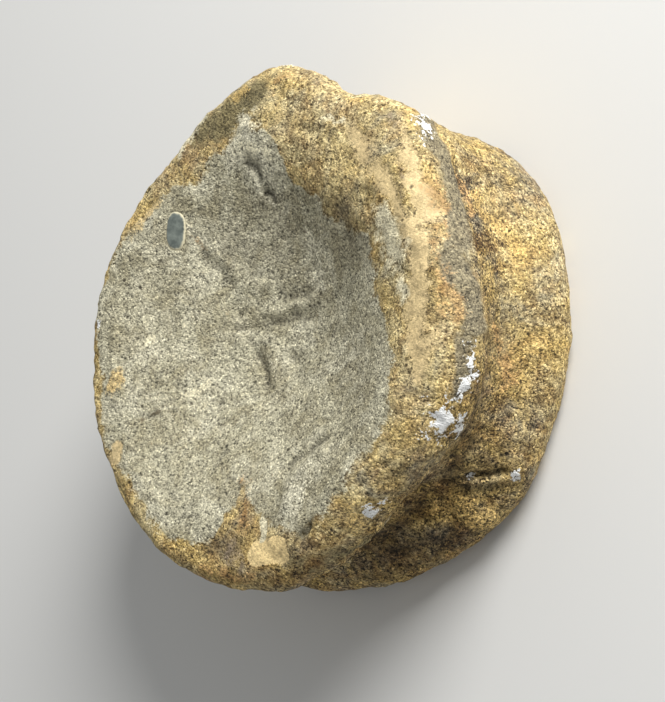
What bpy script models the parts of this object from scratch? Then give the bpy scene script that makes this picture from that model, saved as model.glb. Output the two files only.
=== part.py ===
"""Fossil ichthyosaur vertebra: the drum-shaped body of one bone of the backbone, a single solid piece.

It lies on its back face. Z runs along the backbone, +Y is dorsal (the side of the spinal cord) and X is
lateral. The form is a turned blank, as a potter would throw it, that is then carved by functions of place:
the outlines of both rims with the notch of the neural canal, the waist between them, the rib facets, the
folds in the stone that fills the front hollow, and the worn flats on which the bone lies.
All sizes are in metres and all angles in degrees, counted from +X towards +Y.
"""

import math

import bmesh
import bpy
import numpy as np

# Driving sizes of the turned blank
BLANK_RADIUS = 0.060
LENGTH = 0.045
FRONT_ROLL = 0.0085
BACK_ROLL = 0.0075
FRONT_HOLLOW = 0.0125
BACK_HOLLOW = 0.0130
HOLLOW_FLARE = 1.1
WAIST_DEPTH = 0.0080
# Steps around the axis, and rings across each hollow, each rim's roll and the waist
AROUND = 104
HOLLOW_RINGS = 17
ROLL_RINGS = 5
WAIST_RINGS = 9
# Above 1, the hollows' rings crowd towards the axis
RING_CROWDING = 1.25

# Greatest radius of each rim, by angle
FRONT_RIM = {
    0: 0.0574,
    24: 0.0559,
    40: 0.0550,
    58: 0.0589,
    72: 0.0583,
    84: 0.0552,
    95: 0.0586,
    105: 0.0601,
    120: 0.0576,
    138: 0.0527,
    155: 0.0526,
    186: 0.0517,
    218: 0.0522,
    245: 0.0545,
    272: 0.0575,
    292: 0.0577,
    310: 0.0554,
    326: 0.0532,
    342: 0.0543,
}
BACK_RIM = {
    0: 0.0568,
    30: 0.0586,
    56: 0.0598,
    74: 0.0554,
    88: 0.0540,
    104: 0.0580,
    122: 0.0576,
    140: 0.0557,
    165: 0.0551,
    200: 0.0550,
    240: 0.0560,
    270: 0.0570,
    290: 0.0564,
    315: 0.0563,
    336: 0.0584,
    348: 0.0571,
}
# Share of the outline that the inner faces follow: none inside the first radius, all beyond the second
OUTLINE_FADE = (0.028, 0.056)

# How much of the waist's dip is there, by angle: it is nearly filled beside the neural canal
WAIST_SHARE = {
    0: 0.95,
    16: 0.80,
    32: 0.52,
    46: 0.36,
    62: 0.20,
    76: 0.28,
    86: 0.60,
    96: 0.30,
    110: 0.22,
    130: 0.55,
    155: 0.90,
    185: 0.95,
    230: 1.00,
    270: 0.95,
    300: 1.05,
    335: 1.05,
}
# Share of the front roll's radius, by angle: the rim is a broad roll on one side and a tight edge on the other
ROLL_SHARE = {
    0: 1.00,
    50: 1.00,
    78: 0.75,
    105: 0.55,
    130: 0.38,
    165: 0.34,
    210: 0.34,
    245: 0.38,
    268: 0.46,
    288: 0.60,
    305: 0.90,
    325: 1.00,
}
# Radius on the blank where the flank's relief starts, and where it is all there
SIDE_STARTS = (0.046, 0.052)

# Rib facets on the flanks: angle, height, half width in degrees, half height, rise
RIB_FACETS = [
    (-13, 0.0175, 11, 0.010, 0.0024),
    (22, 0.0130, 12, 0.009, 0.0010),
    (196, 0.0185, 11, 0.010, 0.0022),
    (160, 0.0140, 12, 0.009, 0.0010),
]
# The ledge below the right facet: angle of its edge, angle where it fades, middle height, half height, drop
LEDGE = (-22.5, -46, 0.0155, 0.0048, 0.0019)
# Degrees that the ledge's edge turns in each metre of height
LEDGE_LEAN = -1300
# Degrees over which the ledge drops
LEDGE_SLOPE = 7.0

# Slow waves of the crests' height: waves around, angle of a high point, height
FRONT_WAVES = [(2, 20, 0.0006), (5, 110, 0.0004)]
BACK_WAVES = [(3, 50, 0.0006), (4, 200, 0.0004)]
# Unevenness of the whole surface: wave lengths along X, Y and Z, phase in degrees, size
UNEVEN = [
    (0.061, 0.083, 0.090, 40, 0.00030),
    (-0.047, 0.052, 0.075, 160, 0.00022),
    (0.033, -0.041, 0.038, 275, 0.00012),
    (0.028, 0.030, -0.045, 330, 0.00010),
]
# The back crest is worn to flats at one level, on which the bone lies
WORN = 0.0008

# Height below the front hollow's floor over which the folds fade in
FRONT_BLEND = 0.002
# Folds in the stone of the front hollow: start, middle and end in plan, half width, and rise or furrow
FRONT_FOLDS = {
    "long_furrow": ((-0.0105, -0.0030), (-0.0050, -0.0080), (0.0010, -0.0150), 0.0034, -0.0010),
    "long_ridge": ((-0.0060, -0.0030), (-0.0005, -0.0080), (0.0050, -0.0150), 0.0034, 0.0008),
    "cross_ridge": ((-0.0090, 0.0020), (-0.0025, 0.0045), (0.0045, 0.0068), 0.0034, 0.0009),
    "upper_pit": ((-0.0030, 0.0085), (-0.0010, 0.0092), (0.0015, 0.0095), 0.0036, -0.0011),
    "low_crease": ((0.0290, -0.0200), (0.0220, -0.0250), (0.0190, -0.0310), 0.0036, -0.0010),
    "low_swell": ((0.0330, -0.0270), (0.0290, -0.0330), (0.0250, -0.0400), 0.0060, 0.0009),
    "top_terrace": ((-0.0100, 0.0400), (0.0050, 0.0360), (0.0190, 0.0300), 0.0080, 0.0011),
    "left_swell": ((-0.0330, 0.0080), (-0.0300, -0.0060), (-0.0220, -0.0180), 0.0090, 0.0008),
}

BONE_COLOUR = (0.36, 0.31, 0.22, 1.0)
BONE_ROUGHNESS = 0.85


def clear_scene():
    for old in list(bpy.data.objects):
        bpy.data.objects.remove(old, do_unlink=True)


def ease(value):
    """0 below 0, 1 above 1 and a smooth step between."""
    t = np.clip(value, 0.0, 1.0)
    return t * t * (3.0 - 2.0 * t)


def ring_through(radii, angle):
    """The radius at any angle, by a periodic cubic through the named ones."""
    marks = np.radians(sorted(radii))
    sizes = np.array([radii[k] for k in sorted(radii)])
    marks = np.concatenate([marks[-2:] - 2 * np.pi, marks, marks[:3] + 2 * np.pi])
    sizes = np.concatenate([sizes[-2:], sizes, sizes[:3]])
    at = np.mod(angle, 2 * np.pi)
    k = np.searchsorted(marks, at, side="right") - 1
    step = marks[k + 1] - marks[k]
    t = (at - marks[k]) / step
    leaving = (sizes[k + 1] - sizes[k - 1]) / (marks[k + 1] - marks[k - 1]) * step
    arriving = (sizes[k + 2] - sizes[k]) / (marks[k + 2] - marks[k]) * step
    return (
        (2 * t**3 - 3 * t**2 + 1) * sizes[k]
        + (t**3 - 2 * t**2 + t) * leaving
        + (3 * t**2 - 2 * t**3) * sizes[k + 1]
        + (t**3 - t**2) * arriving
    )


def hollow_profile(crest_radius, crest_height, depth, rings):
    """One face of the blank from the axis out to its crest: half a cosine wave, level at both ends."""
    share = np.linspace(0.0, 1.0, rings + 1) ** RING_CROWDING
    drop = depth * (1 + np.cos(np.pi * share**HOLLOW_FLARE)) / 2
    return [(crest_radius * s, crest_height - d) for s, d in zip(share, drop)]


def blank_profile():
    """Radius and height from the front pole, over both rims, to the back pole."""
    front_z = LENGTH - FRONT_ROLL
    points = hollow_profile(BLANK_RADIUS - FRONT_ROLL, LENGTH, FRONT_HOLLOW, HOLLOW_RINGS)
    for k in range(1, ROLL_RINGS + 1):
        turn = math.radians(90 - 90 * k / ROLL_RINGS)
        points.append((BLANK_RADIUS - FRONT_ROLL * (1 - math.cos(turn)), front_z + FRONT_ROLL * math.sin(turn)))
    for k in range(1, WAIST_RINGS):
        share = k / WAIST_RINGS
        dip = WAIST_DEPTH * math.sin(math.pi * share) ** 2
        points.append((BLANK_RADIUS - dip, front_z + (BACK_ROLL - front_z) * share))
    for k in range(0, ROLL_RINGS):
        turn = math.radians(90 * k / ROLL_RINGS)
        points.append((BLANK_RADIUS - BACK_ROLL * (1 - math.cos(turn)), BACK_ROLL * (1 - math.sin(turn))))
    back = hollow_profile(BLANK_RADIUS - BACK_ROLL, 0.0, -BACK_HOLLOW, HOLLOW_RINGS)
    points.extend(reversed(back))
    return points


def turned_blank(profile):
    """The profile turned round Z with a Screw modifier, which is then applied."""
    mesh = bpy.data.meshes.new("blank")
    mesh.from_pydata([(r, 0.0, z) for r, z in profile], [(k, k + 1) for k in range(len(profile) - 1)], [])
    blank = bpy.data.objects.new("blank", mesh)
    bpy.context.scene.collection.objects.link(blank)
    screw = blank.modifiers.new("turn", "SCREW")
    screw.axis = "Z"
    screw.angle = 2 * math.pi
    screw.steps = AROUND
    screw.render_steps = AROUND
    screw.use_merge_vertices = True
    screw.merge_threshold = 0.00005
    graph = bpy.context.evaluated_depsgraph_get()
    turned = bpy.data.meshes.new_from_object(blank.evaluated_get(graph))
    bpy.data.objects.remove(blank, do_unlink=True)
    return turned


def nearest_turn(angle, middle):
    """Degrees from the middle angle, between -180 and 180."""
    return np.mod(np.degrees(angle) - middle + 180.0, 360.0) - 180.0


def dip_share(z):
    """The waist's dip between the rolls, as a share of its depth: a sine wave squared."""
    share = np.clip((z - BACK_ROLL) / (LENGTH - FRONT_ROLL - BACK_ROLL), 0.0, 1.0)
    return np.sin(np.pi * share) ** 2


def side_relief(angle, z):
    """What the flanks add to the radius: the waist's filling, the rib facets and the ledge."""
    relief = (1.0 - ring_through(WAIST_SHARE, angle)) * WAIST_DEPTH * dip_share(z)
    for middle, height, half_width, half_height, rise in RIB_FACETS:
        across = nearest_turn(angle, middle) / half_width
        along = (z - height) / half_height
        relief = relief + rise * np.exp(-(across**2 + along**2))
    edge, end, height, half_height, drop = LEDGE
    past = edge + LEDGE_LEAN * (z - height) - nearest_turn(angle, 0)
    under = ease(past / LEDGE_SLOPE) * (1.0 - ease((past - LEDGE_SLOPE) / (edge - end - LEDGE_SLOPE)))
    return relief - drop * under * np.exp(-(((z - height) / half_height) ** 2))


def uneven(x, y, z):
    """A sum of sine waves that cross the bone in different directions."""
    total = np.zeros(len(x))
    for along_x, along_y, along_z, phase, size in UNEVEN:
        turns = x / along_x + y / along_y + z / along_z
        total += size * np.sin(2.0 * np.pi * turns + math.radians(phase))
    return total


def crest_waves(waves, angle):
    """The crest's height above its mean: a sum of cosine waves round the rim."""
    return sum(size * np.cos(count * (angle - math.radians(top))) for count, top, size in waves)


def distance_to_path(x, y, path):
    """Distance in plan to the nearest of the straight lines between the path's points."""
    nearest = np.full(len(x), np.inf)
    for (ax, ay), (bx, by) in zip(path[:-1], path[1:]):
        run = ((x - ax) * (bx - ax) + (y - ay) * (by - ay)) / ((bx - ax) ** 2 + (by - ay) ** 2)
        run = np.clip(run, 0.0, 1.0)
        nearest = np.minimum(nearest, np.hypot(x - ax - run * (bx - ax), y - ay - run * (by - ay)))
    return nearest


def front_relief(x, y):
    """What the folds add to the front hollow's height: bell-shaped ridges and furrows along short paths."""
    relief = np.zeros(len(x))
    for start, middle, end, half_width, rise in FRONT_FOLDS.values():
        away = distance_to_path(x, y, (start, middle, end))
        relief += rise * np.exp(-((away / half_width) ** 2))
    return relief


def tightened(radius, z, angle):
    """The blank's radius and height with the front roll's radius changed round the rim.

    On the roll both distances to its outer corner shrink by the share, the dish is stretched out to meet it,
    and the flank up.
    """
    share = ring_through(ROLL_SHARE, angle)
    crest, shoulder = BLANK_RADIUS - FRONT_ROLL, LENGTH - FRONT_ROLL
    dish = radius * (BLANK_RADIUS - FRONT_ROLL * share) / crest
    flank = BACK_ROLL + (z - BACK_ROLL) * (LENGTH - FRONT_ROLL * share - BACK_ROLL) / (shoulder - BACK_ROLL)
    in_dish = (radius <= crest) & (z > LENGTH / 2)
    on_roll = (radius > crest) & (z > shoulder)
    on_flank = (radius > crest - WAIST_DEPTH) & (z <= shoulder) & (z > BACK_ROLL) & ~in_dish
    radius = np.where(in_dish, dish, np.where(on_roll, BLANK_RADIUS - (BLANK_RADIUS - radius) * share, radius))
    z = np.where(on_roll, LENGTH - (LENGTH - z) * share, np.where(on_flank, flank, z))
    return radius, z


def carved(points):
    """The blank's points moved to the bone's form.

    Each point is scaled out or in to the rims' outlines and shifted by the flank's relief. Its height takes
    the folds and the waves of the crest. What would lie below the worn level is flat, and the middle of the
    bone's box comes to the origin.
    """
    angle = np.arctan2(points[:, 1], points[:, 0])
    radius, z = tightened(np.hypot(points[:, 0], points[:, 1]), points[:, 2], angle)
    x, y = radius * np.cos(angle), radius * np.sin(angle)
    frontness = ease((z - BACK_ROLL) / (LENGTH - FRONT_ROLL - BACK_ROLL))
    rim = frontness * ring_through(FRONT_RIM, angle) + (1.0 - frontness) * ring_through(BACK_RIM, angle)
    inner, outer = OUTLINE_FADE
    follow = ease((radius - inner) / (outer - inner))
    side = ease((radius - SIDE_STARTS[0]) / (SIDE_STARTS[1] - SIDE_STARTS[0]))
    reach = radius * (1.0 + (rim / BLANK_RADIUS - 1.0) * follow) + side * side_relief(angle, z)
    bump = uneven(x, y, z)
    reach = reach + side * bump
    x = reach * np.cos(angle)
    y = reach * np.sin(angle)
    on_front = ease((z - LENGTH + FRONT_HOLLOW) / FRONT_BLEND + 1.0)
    waves = frontness * crest_waves(FRONT_WAVES, angle) + (1.0 - frontness) * crest_waves(BACK_WAVES, angle)
    z = z + on_front * front_relief(x, y) + follow * waves + (1.0 - side) * bump
    z = np.maximum(z - WORN, 0.0)
    moved = np.stack([x, y, z], axis=1)
    moved[:, :2] -= (moved[:, :2].max(axis=0) + moved[:, :2].min(axis=0)) / 2.0
    return moved


def make_centrum():
    mesh = turned_blank(blank_profile())
    mesh.name = "centrum"
    points = np.empty(len(mesh.vertices) * 3)
    mesh.vertices.foreach_get("co", points)
    points = carved(points.reshape(-1, 3))
    mesh.vertices.foreach_set("co", points.ravel())
    work = bmesh.new()
    work.from_mesh(mesh)
    bmesh.ops.remove_doubles(work, verts=work.verts, dist=0.00001)
    bmesh.ops.triangulate(work, faces=work.faces)
    work.to_mesh(mesh)
    work.free()
    mesh.shade_smooth()
    return bpy.data.objects.new("centrum", mesh)


def bone_material():
    material = bpy.data.materials.new("fossil_bone")
    material.use_nodes = True
    shader = material.node_tree.nodes["Principled BSDF"]
    shader.inputs["Base Color"].default_value = BONE_COLOUR
    shader.inputs["Roughness"].default_value = BONE_ROUGHNESS
    return material


def main():
    clear_scene()
    vertebra = bpy.data.collections.new("ichthyosaur_vertebra")
    bpy.context.scene.collection.children.link(vertebra)
    centrum = make_centrum()
    vertebra.objects.link(centrum)
    centrum.data.materials.append(bone_material())


main()
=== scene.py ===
# %% [markdown]
# A fossil ichthyosaur vertebra
#
# The bone is the body of one vertebra of an ichthyosaur, a thick disc with a dished face at either end and
# a shallow waist. Grey stone fills part of the front dish, and the bone of the rims has turned ochre and
# brown. It lies on its back face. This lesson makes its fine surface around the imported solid, one step at a
# time. Lengths are in metres, and angles are in degrees, counted from +X towards +Y, where +Y is dorsal.

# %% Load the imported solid
import math

import bpy
import numpy as np
from mathutils import Matrix, Vector


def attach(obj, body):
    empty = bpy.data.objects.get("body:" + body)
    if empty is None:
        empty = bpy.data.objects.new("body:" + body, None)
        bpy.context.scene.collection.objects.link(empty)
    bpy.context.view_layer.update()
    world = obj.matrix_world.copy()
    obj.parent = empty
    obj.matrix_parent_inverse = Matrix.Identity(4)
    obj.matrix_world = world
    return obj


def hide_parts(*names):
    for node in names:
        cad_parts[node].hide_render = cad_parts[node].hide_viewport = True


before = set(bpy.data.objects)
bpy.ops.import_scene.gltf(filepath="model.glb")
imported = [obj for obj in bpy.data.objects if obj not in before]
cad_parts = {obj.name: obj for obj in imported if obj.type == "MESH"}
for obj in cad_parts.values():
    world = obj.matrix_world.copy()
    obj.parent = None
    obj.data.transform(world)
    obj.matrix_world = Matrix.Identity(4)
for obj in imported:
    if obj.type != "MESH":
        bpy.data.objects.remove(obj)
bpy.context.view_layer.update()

# %% [markdown]
# The camera
#
# The photo looks down on the dished face from the bone's own right. Its view was found by fitting the
# outlines of both rims: 42 degrees off the bone's axis, turned 14.1 degrees about the line of sight, and a
# bit more than three bone heights away. The numbers stay as the real distances and angles, so that they can
# be read. A small shift of the lens puts the bone where the photo has it.

# %% Set the camera
PHOTO_SIZE = (665, 702)
BONE_IN_PHOTO = (317.4, 337.3)
PHOTO_SCALE = 4350.0
VIEW_DISTANCE = 0.384
VIEW_TILT = 42.0
VIEW_ROLL = 14.1
MID_HEIGHT = 0.0225
SENSOR = 36.0
CLIP_START = 0.01


def view_axes(tilt, roll):
    """The camera's right, up and backward directions: the tilt leans it from +Z to +X, the roll turns it."""
    lean, turn = math.radians(tilt), math.radians(roll)
    back = Vector((math.sin(lean), 0.0, math.cos(lean)))
    level = Vector((0.0, 1.0, 0.0)).cross(back)
    rise = Vector((0.0, 1.0, 0.0))
    return (
        math.cos(turn) * level + math.sin(turn) * rise,
        -math.sin(turn) * level + math.cos(turn) * rise,
        back,
    )


RIGHT, UP, BACK = view_axes(VIEW_TILT, VIEW_ROLL)
BONE_MIDDLE = Vector((0.0, 0.0, MID_HEIGHT))
LONG_SIDE = max(PHOTO_SIZE)
lens = bpy.data.cameras.new("photo_view")
lens.sensor_width = SENSOR
lens.lens = SENSOR * PHOTO_SCALE * VIEW_DISTANCE / LONG_SIDE
lens.shift_x = (PHOTO_SIZE[0] / 2 - BONE_IN_PHOTO[0]) / LONG_SIDE
lens.shift_y = (BONE_IN_PHOTO[1] - PHOTO_SIZE[1] / 2) / LONG_SIDE
lens.dof.use_dof = False
lens.clip_start = CLIP_START
camera = bpy.data.objects.new("photo_view", lens)
bpy.context.scene.collection.objects.link(camera)
turn = Matrix((RIGHT, UP, BACK)).transposed().to_4x4()
camera.matrix_world = Matrix.Translation(BONE_MIDDLE + BACK * VIEW_DISTANCE) @ turn
bpy.context.scene.camera = camera
print("lens", round(lens.lens, 1), "mm, shift", round(lens.shift_x, 4), round(lens.shift_y, 4))

# %% [markdown]
# The blank
#
# A vertebra could be sculpted by hand, but its form is close to a turned one. So it starts as the profile
# of a potter's blank, a front dish, a rolled rim, a waist, the other rim and the back dish. The sizes are
# the solid's own. A point of the surface is named by how far along the profile it lies and by its angle.

# %% Draw the profile
BLANK_RADIUS = 0.060
LENGTH = 0.045
FRONT_ROLL = 0.0085
BACK_ROLL = 0.0075
FRONT_HOLLOW = 0.0125
BACK_HOLLOW = 0.0130
HOLLOW_FLARE = 1.1
WAIST_DEPTH = 0.0080
PROFILE_STEPS = 400


def dish(crest_radius, crest_height, depth):
    """One face, axis to crest: the height falls by half a cosine wave of the share of the radius."""
    share = np.linspace(0.0, 1.0, PROFILE_STEPS)
    drop = depth * (1 + np.cos(np.pi * share**HOLLOW_FLARE)) / 2
    return crest_radius * share, crest_height - drop


def roll(radius, middle_height, start, end):
    """A quarter circle of the rim, between two angles above the level."""
    turn = np.radians(np.linspace(start, end, PROFILE_STEPS))
    return BLANK_RADIUS - radius * (1 - np.cos(turn)), middle_height + radius * np.sin(turn)


def waist():
    """The side between the rims: the radius dips by a sine wave squared."""
    share = np.linspace(0.0, 1.0, PROFILE_STEPS)
    top = LENGTH - FRONT_ROLL
    return BLANK_RADIUS - WAIST_DEPTH * np.sin(np.pi * share) ** 2, top + (BACK_ROLL - top) * share


def chained(curves):
    """The curves end to end as one profile, with the distance run at each of its points."""
    radius = np.concatenate([r for r, z in curves])
    height = np.concatenate([z for r, z in curves])
    run = np.concatenate([[0.0], np.cumsum(np.hypot(np.diff(radius), np.diff(height)))])
    return radius, height, run


back_dish = dish(BLANK_RADIUS - BACK_ROLL, 0.0, -BACK_HOLLOW)
PROFILE_R, PROFILE_Z, PROFILE_RUN = chained(
    [
        dish(BLANK_RADIUS - FRONT_ROLL, LENGTH, FRONT_HOLLOW),
        roll(FRONT_ROLL, LENGTH - FRONT_ROLL, 90, 0),
        waist(),
        roll(BACK_ROLL, BACK_ROLL, 0, -90),
        (back_dish[0][::-1], back_dish[1][::-1]),
    ]
)
print("profile", round(1000 * PROFILE_RUN[-1], 1), "mm from pole to pole")

# %% [markdown]
# The outlines
#
# Both rims are uneven rings: the neural canal leaves a notch at the top of each, between two low bumps
# where the arch of the spine stood. One way is to model each rim with a curve. Here a rim is a list of its
# radius at named angles, with a periodic cubic through them, and the same way gives any value that changes
# round the bone.

# %% Name the rims and the waist
FRONT_RIM = {
    0: 0.0574, 24: 0.0559, 40: 0.0550, 58: 0.0589, 72: 0.0583, 84: 0.0552, 95: 0.0586, 105: 0.0601,
    120: 0.0576, 138: 0.0527, 155: 0.0526, 186: 0.0517, 218: 0.0522, 245: 0.0545, 272: 0.0575, 292: 0.0577,
    310: 0.0554, 326: 0.0532, 342: 0.0543,
}
BACK_RIM = {
    0: 0.0568, 30: 0.0586, 56: 0.0598, 74: 0.0554, 88: 0.0540, 104: 0.0580, 122: 0.0576, 140: 0.0557,
    165: 0.0551, 200: 0.0550, 240: 0.0560, 270: 0.0570, 290: 0.0564, 315: 0.0563, 336: 0.0584, 348: 0.0571,
}
WAIST_SHARE = {
    0: 0.95, 16: 0.80, 32: 0.52, 46: 0.36, 62: 0.20, 76: 0.28, 86: 0.60, 96: 0.30, 110: 0.22, 130: 0.55,
    155: 0.90, 185: 0.95, 230: 1.00, 270: 0.95, 300: 1.05, 335: 1.05,
}
ROLL_SHARE = {
    0: 1.00, 50: 1.00, 78: 0.75, 105: 0.55, 130: 0.38, 165: 0.34, 210: 0.34, 245: 0.38, 268: 0.46, 288: 0.60,
    305: 0.90, 325: 1.00,
}
OUTLINE_FADE = (0.028, 0.056)
SIDE_STARTS = (0.046, 0.052)
RIB_FACETS = [
    (-13, 0.0175, 11, 0.010, 0.0024),
    (22, 0.0130, 12, 0.009, 0.0010),
    (196, 0.0185, 11, 0.010, 0.0022),
    (160, 0.0140, 12, 0.009, 0.0010),
]
LEDGE = (-22.5, -46, 0.0155, 0.0048, 0.0019)
LEDGE_LEAN = -1300
LEDGE_SLOPE = 3.5
FRONT_WAVES = [(2, 20, 0.0006), (5, 110, 0.0004)]
BACK_WAVES = [(3, 50, 0.0006), (4, 200, 0.0004)]
UNEVEN = [
    (0.061, 0.083, 0.090, 40, 0.00030),
    (-0.047, 0.052, 0.075, 160, 0.00022),
    (0.033, -0.041, 0.038, 275, 0.00012),
    (0.028, 0.030, -0.045, 330, 0.00010),
]
WORN = 0.0008


def ease(value):
    """0 below 0, 1 above 1 and a smooth step between."""
    t = np.clip(value, 0.0, 1.0)
    return t * t * (3.0 - 2.0 * t)


def ring_through(named, angle):
    """The value at any angle, by a periodic cubic through the values at named angles in degrees."""
    marks = np.radians(sorted(named))
    values = np.array([named[k] for k in sorted(named)])
    marks = np.concatenate([marks[-2:] - 2 * np.pi, marks, marks[:3] + 2 * np.pi])
    values = np.concatenate([values[-2:], values, values[:3]])
    at = np.mod(angle, 2 * np.pi)
    k = np.searchsorted(marks, at, side="right") - 1
    step = marks[k + 1] - marks[k]
    t = (at - marks[k]) / step
    leaving = (values[k + 1] - values[k - 1]) / (marks[k + 1] - marks[k - 1]) * step
    arriving = (values[k + 2] - values[k]) / (marks[k + 2] - marks[k]) * step
    return (
        (2 * t**3 - 3 * t**2 + 1) * values[k]
        + (t**3 - 2 * t**2 + t) * leaving
        + (3 * t**2 - 2 * t**3) * values[k + 1]
        + (t**3 - t**2) * arriving
    )


def degrees_from(angle, middle):
    """Degrees from the middle angle, between -180 and 180."""
    return np.mod(np.degrees(angle) - middle + 180.0, 360.0) - 180.0


def near_angle(angle, middle, half_width):
    """1 at the middle angle, eased down to 0 at the half width on either side of it."""
    return ease(1.0 - np.abs(degrees_from(angle, middle)) / half_width)


def flank_relief(angle, z):
    """What the flanks add to the radius: the waist's filling, the rib facets, less the ledge's drop."""
    share = np.clip((z - BACK_ROLL) / (LENGTH - FRONT_ROLL - BACK_ROLL), 0.0, 1.0)
    relief = (1.0 - ring_through(WAIST_SHARE, angle)) * WAIST_DEPTH * np.sin(np.pi * share) ** 2
    for middle, height, half_width, half_height, rise in RIB_FACETS:
        across = degrees_from(angle, middle) / half_width
        along = (z - height) / half_height
        relief = relief + rise * np.exp(-(across**2 + along**2))
    edge, end, height, half_height, drop = LEDGE
    past = edge + LEDGE_LEAN * (z - height) - degrees_from(angle, 0)
    under = ease(past / LEDGE_SLOPE) * (1.0 - ease((past - LEDGE_SLOPE) / (edge - end - LEDGE_SLOPE)))
    return relief - drop * under * np.exp(-(((z - height) / half_height) ** 2))


def uneven(x, y, z):
    """A sum of sine waves that cross the bone in different directions."""
    total = np.zeros(len(x))
    for along_x, along_y, along_z, phase, size in UNEVEN:
        turns = x / along_x + y / along_y + z / along_z
        total += size * np.sin(2.0 * np.pi * turns + math.radians(phase))
    return total


def crest_waves(waves, angle):
    """The crest's height above its mean: a sum of cosine waves round the rim."""
    return sum(size * np.cos(count * (angle - math.radians(top))) for count, top, size in waves)


# %% [markdown]
# The swells of the stone
#
# The grey stone in the front dish settled in broad swells, one low on the right, a terrace at the top and
# one on the left. They could be painted as bump, but they change how the light falls over the dish, so each
# is real relief, a bell shape across a short path. The finer folds come later, on the dense skin.

# %% Name the swells
FRONT_BLEND = 0.002
FRONT_SWELLS = {
    "low_swell": ((0.0330, -0.0270), (0.0290, -0.0330), (0.0250, -0.0400), 0.0060, 0.0009),
    "top_terrace": ((-0.0100, 0.0400), (0.0050, 0.0360), (0.0190, 0.0300), 0.0080, 0.0011),
    "left_swell": ((-0.0330, 0.0080), (-0.0300, -0.0060), (-0.0220, -0.0180), 0.0090, 0.0008),
}


def along_path(points, path):
    """Distance to the nearest straight line between the path's points, and the share run at that place."""
    path = np.array(path)
    lengths = np.linalg.norm(np.diff(path, axis=0), axis=1)
    nearest, reached, before = np.full(len(points), np.inf), np.zeros(len(points)), 0.0
    for a, b, length in zip(path[:-1], path[1:], lengths):
        run = np.clip((points - a) @ (b - a) / length**2, 0.0, 1.0)
        away = np.linalg.norm(points - a - run[:, None] * (b - a), axis=1)
        reached = np.where(away < nearest, (before + run * length) / lengths.sum(), reached)
        nearest = np.minimum(nearest, away)
        before += length
    return nearest, reached


def front_relief(x, y):
    """What the swells add to the height: bell-shaped ridges along short paths in plan."""
    relief = np.zeros(len(x))
    plan = np.stack([x, y], axis=1)
    for *path, half_width, rise in FRONT_SWELLS.values():
        relief += rise * np.exp(-((along_path(plan, path)[0] / half_width) ** 2))
    return relief


def tightened(radius, z, angle):
    """The blank's radius and height with the front roll's radius changed round the rim.

    On the roll both distances to its outer corner shrink by the share, the dish is stretched out to meet it,
    and the flank up.
    """
    share = ring_through(ROLL_SHARE, angle)
    crest, shoulder = BLANK_RADIUS - FRONT_ROLL, LENGTH - FRONT_ROLL
    stretched = radius * (BLANK_RADIUS - FRONT_ROLL * share) / crest
    flank = BACK_ROLL + (z - BACK_ROLL) * (LENGTH - FRONT_ROLL * share - BACK_ROLL) / (shoulder - BACK_ROLL)
    in_dish = (radius <= crest) & (z > LENGTH / 2)
    on_roll = (radius > crest) & (z > shoulder)
    on_flank = (radius > crest - WAIST_DEPTH) & (z <= shoulder) & (z > BACK_ROLL) & ~in_dish
    rolled = BLANK_RADIUS - (BLANK_RADIUS - radius) * share
    radius = np.where(in_dish, stretched, np.where(on_roll, rolled, radius))
    z = np.where(on_roll, LENGTH - (LENGTH - z) * share, np.where(on_flank, flank, z))
    return radius, z


def bone_form(run, angle):
    """Points of the bone from their distance along the profile and their angle.

    Each point of the blank is scaled to the rims' outlines and shifted by the flank's relief. Its height
    takes the swells and the crest's waves, and what lies below the worn level is flat.
    """
    radius, z = np.interp(run, PROFILE_RUN, PROFILE_R), np.interp(run, PROFILE_RUN, PROFILE_Z)
    radius, z = tightened(radius, z, angle)
    x, y = radius * np.cos(angle), radius * np.sin(angle)
    frontness = ease((z - BACK_ROLL) / (LENGTH - FRONT_ROLL - BACK_ROLL))
    rim = frontness * ring_through(FRONT_RIM, angle) + (1.0 - frontness) * ring_through(BACK_RIM, angle)
    follow = ease((radius - OUTLINE_FADE[0]) / (OUTLINE_FADE[1] - OUTLINE_FADE[0]))
    side = ease((radius - SIDE_STARTS[0]) / (SIDE_STARTS[1] - SIDE_STARTS[0]))
    bump = uneven(x, y, z)
    reach = radius * (1.0 + (rim / BLANK_RADIUS - 1.0) * follow) + side * (flank_relief(angle, z) + bump)
    x, y = reach * np.cos(angle), reach * np.sin(angle)
    on_front = ease((z - LENGTH + FRONT_HOLLOW) / FRONT_BLEND + 1.0)
    waves = frontness * crest_waves(FRONT_WAVES, angle) + (1.0 - frontness) * crest_waves(BACK_WAVES, angle)
    z = z + on_front * front_relief(x, y) + follow * waves + (1.0 - side) * bump
    z = np.maximum(z - WORN, 0.0)
    points = np.stack([x, y, z], axis=1)
    points[:, :2] -= (points[:, :2].max(axis=0) + points[:, :2].min(axis=0)) / 2.0
    return points


# %% [markdown]
# The grid
#
# Rings round the axis would leave slivers at the middle of each dish. So each face is a square grid bent
# into a disc, which keeps its cells nearly square everywhere, and a band of the same cells joins the two
# faces. The seams share their points, so the skin is closed, and the same grid gives the texture map three
# plain charts.

# %% Lay out the grid
FACE_CELLS = 156
BAND_CELLS = 66
FRONT_EDGE_RUN = 0.058
BACK_REACH = 0.057
BACK_EDGE_RUN = PROFILE_RUN[-1] - BACK_REACH


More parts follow.
